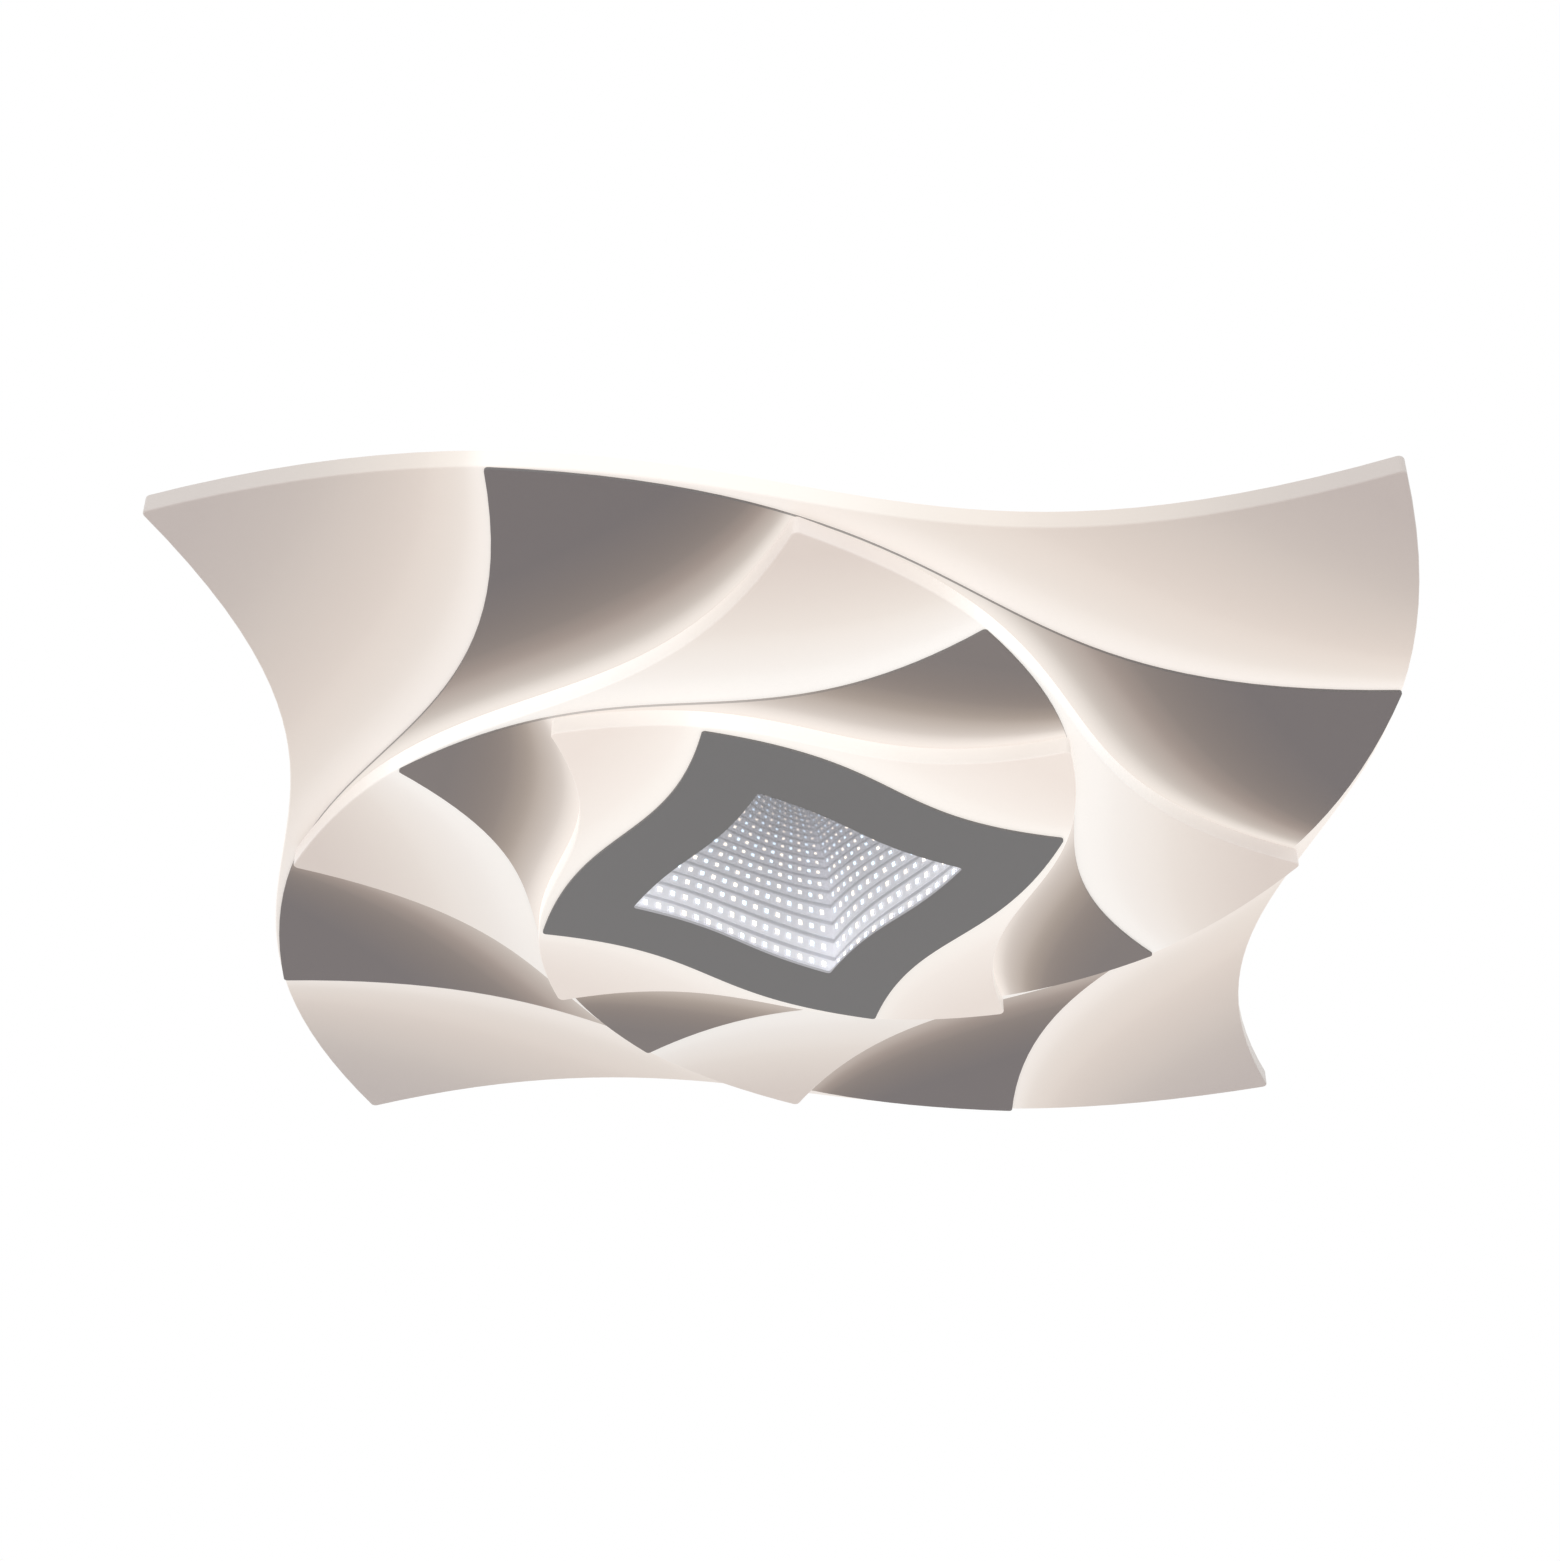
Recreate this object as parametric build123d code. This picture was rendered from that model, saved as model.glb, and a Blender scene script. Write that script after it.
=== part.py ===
"""Layered LED ceiling light with twisted square panels and a mirror window.

Millimetres, +Z up. The origin is on the ceiling, at the centre of the bracket.
The light hangs towards -Z. Angles are seen from above, anticlockwise from +X.
"""
from build123d import *
from math import sqrt
import os

# Outlines. Each has four tips and four alike sides that swell out, then draw in.
# A side's shape is its two pull points: share of the side along it, share outward.
PANEL_SIDE = ((0.50, 0.150), (0.55, -0.178))
FRAME_SIDE = ((0.51, 0.109), (0.54, -0.130))
WINDOW_SIDE = ((0.48, 0.042), (0.52, -0.084))
TIP_ROUND = 3.0
SHARP = 0.0

# Tip distance from the centre, and the direction of the first tip
OUTER_PANEL = (392.5, -135.0)
OUTER_SHADE = (323.0, -112.0)
MIDDLE_PANEL = (265.5, -87.5)
MIDDLE_SHADE = (216.5, -63.5)
INNER_PANEL = (178.0, -39.0)
CENTRE_FRAME = (143.5, -15.5)
WINDOW = (88.0, -9.5)
BOX_HOLE = (110.0, -9.5)

# Levels, from the ceiling down
PAN_DEPTH = 34.0
TRAY_DEPTH = 10.0
SHADE_SHEET = 1.5
SHADOW_GAP = 1.0
LEVEL_STEP = TRAY_DEPTH + SHADE_SHEET + SHADOW_GAP
OUTER_TOP = -PAN_DEPTH
MIDDLE_TOP = OUTER_TOP - LEVEL_STEP
INNER_TOP = MIDDLE_TOP - LEVEL_STEP
FRAME_TOP = INNER_TOP - TRAY_DEPTH

# Diffuser trays and the steel carriers that close them
TRAY_WALL = 3.0
TRAY_LEDGE = 2.0
TRAY_FACE = 2.5
CARRIER_SHEET = 1.5
CARRIER_PLAY = 0.3

# Light boards: centre radius, width, turn from the panel's tip, half sweep, chips
BOARD_SHEET = 1.0
OUTER_BOARDS = (222.0, 16.0, -3.0, 18.0, 8)
MIDDLE_BOARDS = (150.0, 12.0, -5.0, 18.0, 6)
INNER_BOARDS = (99.0, 8.0, -5.0, 18.0, 4)
CHIP_LONG = 3.5
CHIP_WIDE = 2.8
CHIP_TALL = 0.8

# Studs that hang one level from the next: circle radius and direction
UPPER_STUDS = (120.0, -87.5)
LOWER_STUDS = (88.0, -54.5)
STUD_R = 2.0
STUD_TAIL = 1.3
STUD_HOLE_R = 2.3
PAD_SIDE = 10.0
NUT_FLATS = 7.0
NUT_TALL = 3.2

# Small round bars and holes have few facets, because they repeat so often
PIN_FACETS = 10

# Base pan, ceiling bracket and their thumb screws
PAN_R = 135.0
PAN_SHEET = 1.2
PAN_CORNER = 4.0
BRACKET_WIDE = 26.0
BRACKET_SHEET = 1.5
BRACKET_DROP = 22.0
BRACKET_BEND = 3.0
BRACKET_WIRE_R = 7.0
SLOT_SPACING = 120.0
SLOT_LENGTH = 14.0
SLOT_R = 2.5
THUMB_Z = -13.0
THUMB_HEAD_R = 5.0
THUMB_HEAD_LONG = 6.0
THUMB_CLEAR_R = 2.25
THUMB_PAST_TAB = 5.0
VENT_COUNT = 3
VENT_STEP = 12.0
VENT_LONG = 14.0
VENT_TALL = 3.5
PAN_SCREWS = (118.0, 45.0)
SCREW_FLATS = 6.0
SCREW_HEAD_TALL = 2.2
WIRE_HOLE_R = 11.0
GROMMET_LIP = 2.0
GROMMET_WALL = 2.5
GROMMET_LIP_TALL = 1.5

# Drivers: centre on the pan floor, then length, width, height and lug length
PANEL_DRIVER = ((0.0, 52.0), (112.0, 44.0, 24.0, 9.0))
MIRROR_DRIVER = ((-30.0, -64.0), (62.0, 32.0, 19.0, 8.0))
LUG_TALL = 2.0
DRIVER_CORNER = 2.5
DRIVER_BEVEL = 1.2
GROOVE_WIDE = 1.6
GROOVE_DEEP = 0.6

# Terminal block for the supply, and the earth screw beside it
TERMINAL_SPOT = (48.0, -64.0)
POLES = 3
POLE_STEP = 11.0
POLE_LONG = 21.0
POLE_WIDE = 8.0
POLE_TALL = 12.0
POLE_BEVEL = 1.0
WEB_WIDE = 6.0
WEB_TALL = 4.0
WIRE_WAY = 4.0
WIRE_WAY_Z = 4.5
TERMINAL_SCREW_Y = -5.5
TERMINAL_SCREW_LONG = 3.0
TERMINAL_SCREW_SUNK = 1.5
EARTH_SPOT = (92.0, -36.0)
EARTH_CLAMP = (9.0, 9.0, 1.0)

# Mirror box behind the window
GLASS = 2.0
BOX_SET_BACK = 6.5
BOX_WALL = 1.5
BOX_DEPTH = 11.0
BACK_MIRROR = 2.0
BOX_COVER = 1.0
STRIP_WIDE = 8.0
STRIP_THICK = 0.6
STRIP_CHIP = 3.5
SOLDER = 0.02
CHIPS_A_SIDE = 17
CHIP_END_SHARE = 0.053
FRAME_STUDS = (103.0, -8.5)
FRAME_STUD_R = 1.5
FRAME_STUD_TAIL = 0.5
FRAME_NUT_FLATS = 5.5
FRAME_NUT_TALL = 2.4
EAR_R = 3.4

# Block magnets that hold the centre frame, on hexagon posts through the inner tray
MAGNETS = (115.0, -15.5)
MAGNET = (14.0, 12.0, 3.0)
MAGNET_PLAY = 0.5
POST_FLATS = 8.0

QUARTERS = [0, 90, 180, 270]
nodes = {}


def pull_polygon(spot, side, grow):
    """Tips and pull points of an outline in order, moved outward by grow."""
    reach, turn = spot
    tips = [Vector(reach, 0).rotate(Axis.Z, turn + quarter) for quarter in QUARTERS]
    polygon = []
    for start, end in zip(tips, tips[1:] + tips[:1]):
        along = end - start
        outward = Vector(along.Y, -along.X)
        polygon.append(start)
        polygon.extend(start + along * share + outward * lift for share, lift in side)
    legs = [(end - start).normalized() for start, end in zip(polygon, polygon[1:] + polygon[:1])]
    normals = [Vector(leg.Y, -leg.X) for leg in legs]
    moved = []
    for index, point in enumerate(polygon):
        before, after = normals[index - 1], normals[index]
        moved.append(point + (before + after) * (grow / (1 + before.dot(after))))
    return moved


def outline_sides(spot, side, grow=0.0):
    """Four S-shaped sides between the four tips of an outline."""
    polygon = pull_polygon(spot, side, grow)
    closed = polygon + polygon[:1]
    return [Bezier(*closed[first:first + 4]) for first in range(0, len(polygon), 3)]


def outline(spot, side=PANEL_SIDE, grow=0.0, tip=TIP_ROUND):
    """Face inside an outline, or inside the same outline moved by grow."""
    face = Face(Wire(outline_sides(spot, side, grow)))
    return face.fillet_2d(tip, face.vertices()) if tip else face


def slab(face, top, depth):
    """The face made solid from the height top down by depth."""
    return extrude(Pos(0, 0, top) * face, amount=-depth)


def rod(radius, top, depth):
    return Pos(0, 0, top - depth / 2) * Cylinder(radius, depth)


def pin(radius, top, depth):
    """Small round bar or hole with few facets."""
    return slab(RegularPolygon(radius, PIN_FACETS), top, depth)


def hexagon(flats, top, depth):
    return slab(RegularPolygon(flats / 2, 6, major_radius=False), top, depth)


def hex_screw(shank_long):
    """Hexagon screw whose head stands on z = 0, with its shank downward."""
    return hexagon(SCREW_FLATS, SCREW_HEAD_TALL, SCREW_HEAD_TALL) + pin(STUD_R, 0, shank_long)


def around(spot, piece):
    """Four copies of a piece on a circle, given as radius and first direction."""
    radius, turn = spot
    return [Rot(0, 0, turn + quarter) * Pos(radius, 0, 0) * piece for quarter in QUARTERS]


def group(pieces):
    """Separate solids of one kind, kept together as one node."""
    solids = []
    for piece in pieces:
        solids.extend(piece.solids())
    return Compound(children=solids)


def carrier(spot, top):
    """Steel plate that closes a tray and carries its light boards."""
    plate = outline(spot, grow=-TRAY_WALL - CARRIER_PLAY, tip=SHARP)
    return slab(plate, top, CARRIER_SHEET)


def diffuser(spot, top):
    """Milky tray: side wall, inner ledge for the carrier, and thin face."""
    tray = slab(outline(spot), top, TRAY_DEPTH)
    seat = slab(outline(spot, grow=-TRAY_WALL, tip=SHARP), top, CARRIER_SHEET)
    hollow_face = outline(spot, grow=-TRAY_WALL - TRAY_LEDGE, tip=SHARP)
    return tray - seat - slab(hollow_face, top, TRAY_DEPTH - TRAY_FACE)


def light_boards(spot, boards, top):
    """Four curved boards under the carrier, and the chips that they carry."""
    radius, width, shift, half_sweep, count = boards
    start = spot[1] + shift - half_sweep
    board_z = top - CARRIER_SHEET - BOARD_SHEET / 2
    section = Plane.XZ * Pos(radius, board_z) * Rectangle(width, BOARD_SHEET)
    board = Rot(0, 0, start) * revolve(section, Axis.Z, 2 * half_sweep)
    chip_z = board_z - BOARD_SHEET / 2 - CHIP_TALL / 2
    chip = Pos(radius, 0, chip_z) * Box(CHIP_WIDE, CHIP_LONG, CHIP_TALL)
    step = 2 * half_sweep / count
    chip_turns = [start + step * (index + 0.5) for index in range(count)]
    chips = [Rot(0, 0, quarter + turn) * chip for quarter in QUARTERS for turn in chip_turns]
    return group(Rot(0, 0, quarter) * board for quarter in QUARTERS), group(chips)


def hanging_set(spot, top):
    """Weld studs under one carrier, with what clamps the next level to them."""
    stud_top = top - CARRIER_SHEET
    spacer_tall = TRAY_DEPTH - CARRIER_SHEET - TRAY_FACE
    next_carrier = top - LEVEL_STEP
    pad_top = next_carrier + SHADOW_GAP
    nut_top = next_carrier - CARRIER_SHEET
    stud = pin(STUD_R, stud_top, stud_top - nut_top + NUT_TALL + STUD_TAIL)
    spacer = hexagon(NUT_FLATS, stud_top, spacer_tall) - pin(STUD_HOLE_R, stud_top, spacer_tall)
    pad = slab(Rectangle(PAD_SIDE, PAD_SIDE), pad_top, SHADOW_GAP)
    pad -= pin(STUD_HOLE_R, pad_top, SHADOW_GAP)
    nut = hexagon(NUT_FLATS, nut_top, NUT_TALL) - pin(STUD_R, nut_top, NUT_TALL)
    return [group(around(spot, piece)) for piece in (stud, spacer, pad, nut)]


def pin_holes(spot, radius, top, depth):
    return around(spot, pin(radius, top, depth))


# Ceiling bracket: a bent steel strap with two slots for the ceiling screws
pan_inner_r = PAN_R - PAN_SHEET
tab_x = sqrt(pan_inner_r ** 2 - (BRACKET_WIDE / 2) ** 2)
strap_outside = Pos(0, -BRACKET_DROP) * Rectangle(2 * tab_x, 2 * BRACKET_DROP)
strap_outside = fillet(strap_outside.vertices(), BRACKET_BEND)
strap_half = Pos(0, -BRACKET_DROP / 2) * Rectangle(2 * tab_x, BRACKET_DROP)
strap_inside = offset(strap_outside, amount=-BRACKET_SHEET)
strap_profile = (strap_outside - strap_inside) & strap_half
bracket = extrude(Plane.XZ * strap_profile, amount=BRACKET_WIDE / 2, both=True)
slot_cut = slab(SlotOverall(SLOT_LENGTH, 2 * SLOT_R), 0, BRACKET_SHEET)
bracket -= [Pos(x, 0, 0) * slot_cut for x in (-SLOT_SPACING / 2, SLOT_SPACING / 2)]
bracket -= pin(BRACKET_WIRE_R, 0, BRACKET_SHEET)
thumb_axis = Pos(0, 0, THUMB_Z) * Rot(0, 90, 0)
bracket -= thumb_axis * pin(STUD_R, 2 * PAN_R, 4 * PAN_R)
nodes["ceiling_bracket"] = bracket

# Base pan: a pressed round pan, open to the ceiling, that covers the drivers
pan_floor_top = OUTER_TOP + PAN_SHEET
pan = rod(PAN_R, 0, PAN_DEPTH)
pan = chamfer(pan.edges().group_by(Axis.Z)[0], PAN_CORNER)
pan_hollow = rod(pan_inner_r, 0, PAN_DEPTH - PAN_SHEET)
pan_hollow_corner = PAN_CORNER - PAN_SHEET * (2 - sqrt(2))
pan -= chamfer(pan_hollow.edges().group_by(Axis.Z)[0], pan_hollow_corner)
pan -= thumb_axis * pin(THUMB_CLEAR_R, 2 * PAN_R, 4 * PAN_R)
pan -= pin(WIRE_HOLE_R, pan_floor_top, PAN_SHEET)
pan -= pin_holes(PAN_SCREWS, STUD_R, pan_floor_top, PAN_SHEET)
vent = Pos(0, 0, -PAN_DEPTH / 2) * Box(VENT_LONG, 4 * PAN_R, VENT_TALL)
vent_turns = [(index - (VENT_COUNT - 1) / 2) * VENT_STEP for index in range(VENT_COUNT)]
pan -= [Rot(0, 0, turn) * vent for turn in vent_turns]
nodes["base_pan"] = pan

# Thumb screws: faceted heads outside the pan, shanks through it into the bracket
thumb_head = slab(RegularPolygon(THUMB_HEAD_R, PIN_FACETS), PAN_R + THUMB_HEAD_LONG, THUMB_HEAD_LONG)
thumb = thumb_axis * (thumb_head + pin(STUD_R, PAN_R, PAN_R - tab_x + THUMB_PAST_TAB))
nodes["thumb_screws"] = group([thumb, Rot(0, 0, 180) * thumb])

# Drivers: potted boxes with end lugs, screwed to the pan floor


def driver_box(long, wide, tall, lug):
    """Grooved housing with a lug at each end, standing on z = 0."""
    body = extrude(Rectangle(long, wide), amount=tall)
    body = chamfer(body.edges().filter_by(Axis.Z), DRIVER_CORNER)
    body = chamfer(body.edges().group_by(Axis.Z)[-1], DRIVER_BEVEL)
    groove = Pos(0, 0, tall) * Box(GROOVE_WIDE, wide * 0.7, 2 * GROOVE_DEEP)
    body -= [Pos(long * share, 0, 0) * groove for share in (-0.3, -0.2, 0.2, 0.3)]
    foot = extrude(Rectangle(long + 2 * lug, wide * 0.5), amount=LUG_TALL)
    foot = chamfer(foot.edges().filter_by(Axis.Z), DRIVER_CORNER)
    return body + foot


driver_screws = []
for name, (spot, size) in (("panel_driver", PANEL_DRIVER), ("mirror_driver", MIRROR_DRIVER)):
    long, wide, tall, lug = size
    place = Pos(spot[0], spot[1], pan_floor_top)
    lug_places = [Pos(side * (long + lug) / 2, 0, LUG_TALL) for side in (-1, 1)]
    lug_holes = [lug_place * pin(STUD_R, 0, LUG_TALL) for lug_place in lug_places]
    nodes[name] = place * (driver_box(*size) - lug_holes)
    driver_screws.extend(place * lug_place * hex_screw(LUG_TALL) for lug_place in lug_places)
nodes["driver_screws"] = group(driver_screws)

# Terminal block for the supply: poles joined by a web, a screw over each wire way
terminal_place = Pos(*TERMINAL_SPOT, pan_floor_top)
block = slab(Rectangle((POLES - 1) * POLE_STEP + POLE_WIDE, WEB_WIDE), WEB_TALL, WEB_TALL)
wire_way = Pos(0, 0, WIRE_WAY_Z) * Box(WIRE_WAY, POLE_LONG, WIRE_WAY)
well_floor = WIRE_WAY_Z + WIRE_WAY / 2
terminal_screw_top = POLE_TALL - TERMINAL_SCREW_SUNK
terminal_screws = []
for index in range(POLES):
    pole_x = (index - (POLES - 1) / 2) * POLE_STEP
    pole = slab(Rectangle(POLE_WIDE, POLE_LONG), POLE_TALL, POLE_TALL)
    pole = chamfer(pole.edges().group_by(Axis.Z)[-1], POLE_BEVEL)
    well = Pos(0, TERMINAL_SCREW_Y, 0) * pin(STUD_R, POLE_TALL, POLE_TALL - well_floor)
    block = block + Pos(pole_x, 0, 0) * pole - Pos(pole_x, 0, 0) * (wire_way + well)
    well_place = Pos(pole_x, TERMINAL_SCREW_Y, 0)
    terminal_screws.append(well_place * pin(STUD_R, terminal_screw_top, TERMINAL_SCREW_LONG))
nodes["terminal_block"] = terminal_place * block
nodes["terminal_screws"] = group(terminal_place * screw for screw in terminal_screws)

# Earth screw on the pan floor, through a square clamp plate
earth_clamp = Pos(0, 0, EARTH_CLAMP[2] / 2) * Box(*EARTH_CLAMP)
earth_screw = earth_clamp + Pos(0, 0, EARTH_CLAMP[2]) * hex_screw(EARTH_CLAMP[2])
nodes["earth_screw"] = Pos(*EARTH_SPOT, pan_floor_top) * earth_screw

# Screws that join the pan floor to the outer carrier
pan_screw = Pos(0, 0, pan_floor_top) * hex_screw(PAN_SHEET + CARRIER_SHEET)
nodes["pan_screws"] = group(around(PAN_SCREWS, pan_screw))

# Grommet in the hole that the leads to the light boards go through
grommet_top = pan_floor_top + GROMMET_LIP_TALL
grommet_low_lip = OUTER_TOP - CARRIER_SHEET
grommet_tall = grommet_top - grommet_low_lip + GROMMET_LIP_TALL
grommet = pin(WIRE_HOLE_R, grommet_top, grommet_tall)
lip_tops = (grommet_top, grommet_low_lip)
grommet += [pin(WIRE_HOLE_R + GROMMET_LIP, lip_top, GROMMET_LIP_TALL) for lip_top in lip_tops]
grommet -= pin(WIRE_HOLE_R - GROMMET_WALL, grommet_top, grommet_tall)
nodes["wire_grommet"] = grommet

# Hole through which the mirror box is put up from below
box_hole = outline(BOX_HOLE, WINDOW_SIDE, tip=SHARP)

# Outer level
outer_carrier = carrier(OUTER_PANEL, OUTER_TOP)
outer_carrier -= pin_holes(PAN_SCREWS, STUD_R, OUTER_TOP, CARRIER_SHEET)
outer_carrier -= pin(WIRE_HOLE_R, OUTER_TOP, CARRIER_SHEET)
nodes["outer_carrier"] = outer_carrier
outer_stack = pin_holes(UPPER_STUDS, STUD_HOLE_R, OUTER_TOP, TRAY_DEPTH + SHADE_SHEET)
outer_stack.append(pin(WIRE_HOLE_R, OUTER_TOP, TRAY_DEPTH + SHADE_SHEET))
nodes["outer_diffuser"] = diffuser(OUTER_PANEL, OUTER_TOP) - outer_stack
outer_shade = slab(outline(OUTER_SHADE), OUTER_TOP - TRAY_DEPTH, SHADE_SHEET)
nodes["outer_shade"] = outer_shade - outer_stack
outer_lights = light_boards(OUTER_PANEL, OUTER_BOARDS, OUTER_TOP)
nodes["outer_light_boards"], nodes["outer_chips"] = outer_lights
upper_names = ("upper_studs", "upper_spacers", "upper_pads", "upper_nuts")
nodes.update(zip(upper_names, hanging_set(UPPER_STUDS, OUTER_TOP)))

# Middle level
middle_carrier = carrier(MIDDLE_PANEL, MIDDLE_TOP)
middle_carrier -= pin_holes(UPPER_STUDS, STUD_HOLE_R, MIDDLE_TOP, CARRIER_SHEET)
middle_carrier -= pin(WIRE_HOLE_R, MIDDLE_TOP, CARRIER_SHEET)
nodes["middle_carrier"] = middle_carrier
middle_stack = pin_holes(LOWER_STUDS, STUD_HOLE_R, MIDDLE_TOP, TRAY_DEPTH + SHADE_SHEET)
middle_stack.append(slab(box_hole, MIDDLE_TOP, TRAY_DEPTH + SHADE_SHEET))
nodes["middle_diffuser"] = diffuser(MIDDLE_PANEL, MIDDLE_TOP) - middle_stack
middle_shade = slab(outline(MIDDLE_SHADE), MIDDLE_TOP - TRAY_DEPTH, SHADE_SHEET)
nodes["middle_shade"] = middle_shade - middle_stack
middle_lights = light_boards(MIDDLE_PANEL, MIDDLE_BOARDS, MIDDLE_TOP)
nodes["middle_light_boards"], nodes["middle_chips"] = middle_lights
lower_names = ("lower_studs", "lower_spacers", "lower_pads", "lower_nuts")
nodes.update(zip(lower_names, hanging_set(LOWER_STUDS, MIDDLE_TOP)))

# Inner level
inner_carrier = carrier(INNER_PANEL, INNER_TOP)
inner_carrier -= pin_holes(LOWER_STUDS, STUD_HOLE_R, INNER_TOP, CARRIER_SHEET)
inner_carrier -= slab(box_hole, INNER_TOP, CARRIER_SHEET)
nodes["inner_carrier"] = inner_carrier
magnet_long, magnet_wide, magnet_tall = MAGNET
magnet_hole = Rectangle(magnet_long + 2 * MAGNET_PLAY, magnet_wide + 2 * MAGNET_PLAY)
inner_diffuser = diffuser(INNER_PANEL, INNER_TOP)
inner_diffuser -= around(MAGNETS, slab(magnet_hole, INNER_TOP, TRAY_DEPTH))
inner_diffuser -= slab(box_hole, INNER_TOP, TRAY_DEPTH)
nodes["inner_diffuser"] = inner_diffuser
inner_lights = light_boards(INNER_PANEL, INNER_BOARDS, INNER_TOP)
nodes["inner_light_boards"], nodes["inner_chips"] = inner_lights

# Magnets on posts, which the steel centre frame snaps to
magnet_top = FRAME_TOP + magnet_tall
post_top = INNER_TOP - CARRIER_SHEET
nodes["magnet_posts"] = group(around(MAGNETS, hexagon(POST_FLATS, post_top, post_top - magnet_top)))
magnet = slab(Rectangle(magnet_long, magnet_wide), magnet_top, magnet_tall)
nodes["frame_magnets"] = group(around(MAGNETS, magnet))

# Centre frame: the grey steel front with the window cut through it
centre_frame = slab(outline(CENTRE_FRAME, FRAME_SIDE), FRAME_TOP, SHADE_SHEET)
nodes["centre_frame"] = centre_frame - slab(outline(WINDOW, WINDOW_SIDE), FRAME_TOP, SHADE_SHEET)

# Mirror box: one-way glass, lit side wall, back mirror and cover, on the frame
box_outside = outline(WINDOW, WINDOW_SIDE, BOX_SET_BACK + BOX_WALL, SHARP)
box_inside = outline(WINDOW, WINDOW_SIDE, BOX_SET_BACK, SHARP)
wall_low = FRAME_TOP + GLASS
wall_top = wall_low + BOX_DEPTH
mirror_top = wall_top + BACK_MIRROR
cover_top = mirror_top + BOX_COVER
nodes["one_way_glass"] = slab(box_outside, wall_low, GLASS)
box_wall = slab(box_outside, wall_top, BOX_DEPTH) - slab(box_inside, wall_top, BOX_DEPTH)
nodes["mirror_box_wall"] = box_wall
nodes["back_mirror"] = slab(box_outside, mirror_top, BACK_MIRROR)
ear = slab(Pos(-1.5 * EAR_R, 0, 0) * Rectangle(3 * EAR_R, 2 * EAR_R), cover_top, BOX_COVER)
ears = around(FRAME_STUDS, ear + pin(EAR_R, cover_top, BOX_COVER))
box_cover = slab(box_outside, cover_top, BOX_COVER) + ears
nodes["box_cover"] = box_cover - pin_holes(FRAME_STUDS, FRAME_STUD_R, cover_top, BOX_COVER)
frame_nut_top = cover_top + FRAME_NUT_TALL
frame_stud_top = frame_nut_top + FRAME_STUD_TAIL
frame_stud = pin(FRAME_STUD_R, frame_stud_top, frame_stud_top - FRAME_TOP)
nodes["frame_studs"] = group(around(FRAME_STUDS, frame_stud))
frame_nut = hexagon(FRAME_NUT_FLATS, frame_nut_top, FRAME_NUT_TALL)
frame_nut -= pin(FRAME_STUD_R, frame_nut_top, FRAME_NUT_TALL)
nodes["frame_nuts"] = group(around(FRAME_STUDS, frame_nut))

# Light strip along the inside of the mirror box wall, with its chips
strip_grow = BOX_SET_BACK - STRIP_THICK
strip_mid = wall_low + BOX_DEPTH / 2
strip_top = strip_mid + STRIP_WIDE / 2
strip_inside = outline(WINDOW, WINDOW_SIDE, strip_grow, SHARP)
mirror_strip = slab(box_inside, strip_top, STRIP_WIDE) - slab(strip_inside, strip_top, STRIP_WIDE)
nodes["mirror_strip"] = mirror_strip
chip_box = Box(STRIP_CHIP, CHIP_TALL, STRIP_CHIP)
chip_inset = CHIP_TALL / 2 + SOLDER
chip_share_step = (1 - 2 * CHIP_END_SHARE) / (CHIPS_A_SIDE - 1)
strip_chips = []
for side in outline_sides(WINDOW, WINDOW_SIDE, strip_grow):
    for index in range(CHIPS_A_SIDE):
        share = CHIP_END_SHARE + chip_share_step * index
        run = side.tangent_at(share)
        inward = Vector(-run.Y, run.X)
        spot = side.position_at(share) + inward * chip_inset + Vector(0, 0, strip_mid)
        strip_chips.append(Plane(origin=spot, x_dir=run, z_dir=(0, 0, 1)) * chip_box)
nodes["mirror_chips"] = group(strip_chips)

os.makedirs("parts", exist_ok=True)
for name, shape in nodes.items():
    export_step(shape, f"parts/{name}.step")
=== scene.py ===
"""Finish of a layered LED ceiling light: lit milky trays under grey sheets, round a mirror window.

Metres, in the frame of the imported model. The light hangs from z = 0 towards -Z.
"""
import bpy
from math import atan2, cos, hypot, pi, radians, sin
from mathutils import Matrix, Vector


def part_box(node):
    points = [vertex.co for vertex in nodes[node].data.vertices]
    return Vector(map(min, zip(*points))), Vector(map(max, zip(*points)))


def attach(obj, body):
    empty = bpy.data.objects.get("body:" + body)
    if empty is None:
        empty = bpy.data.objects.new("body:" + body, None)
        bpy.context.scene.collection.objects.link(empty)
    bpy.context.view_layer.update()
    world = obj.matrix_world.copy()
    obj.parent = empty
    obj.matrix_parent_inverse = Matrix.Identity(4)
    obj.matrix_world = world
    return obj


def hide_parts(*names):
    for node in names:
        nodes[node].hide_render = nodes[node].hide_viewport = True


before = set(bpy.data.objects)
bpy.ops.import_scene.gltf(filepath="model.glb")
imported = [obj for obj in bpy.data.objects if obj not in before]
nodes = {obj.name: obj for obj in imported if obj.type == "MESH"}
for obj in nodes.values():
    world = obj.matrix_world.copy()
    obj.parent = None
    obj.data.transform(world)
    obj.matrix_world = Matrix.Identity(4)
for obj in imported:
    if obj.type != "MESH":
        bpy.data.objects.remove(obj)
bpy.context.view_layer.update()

# Studio. The camera stands below the light on its near side and looks up at the lit
# faces. Plain white all round is both the background and an even light. One broad lamp
# stands beside the camera, and a pale floor lies below.
CAMERA_PLACE = Vector((0.0505, -1.0811, -0.7749))
CAMERA_AIM = Vector((-0.0052, -0.0602, -0.0440))
CAMERA_LENS = 56.95
CAMERA_SENSOR = 36.0
CAMERA_ROLL = radians(0.2)
bpy.ops.object.camera_add(location=CAMERA_PLACE)
camera = bpy.context.object
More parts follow.
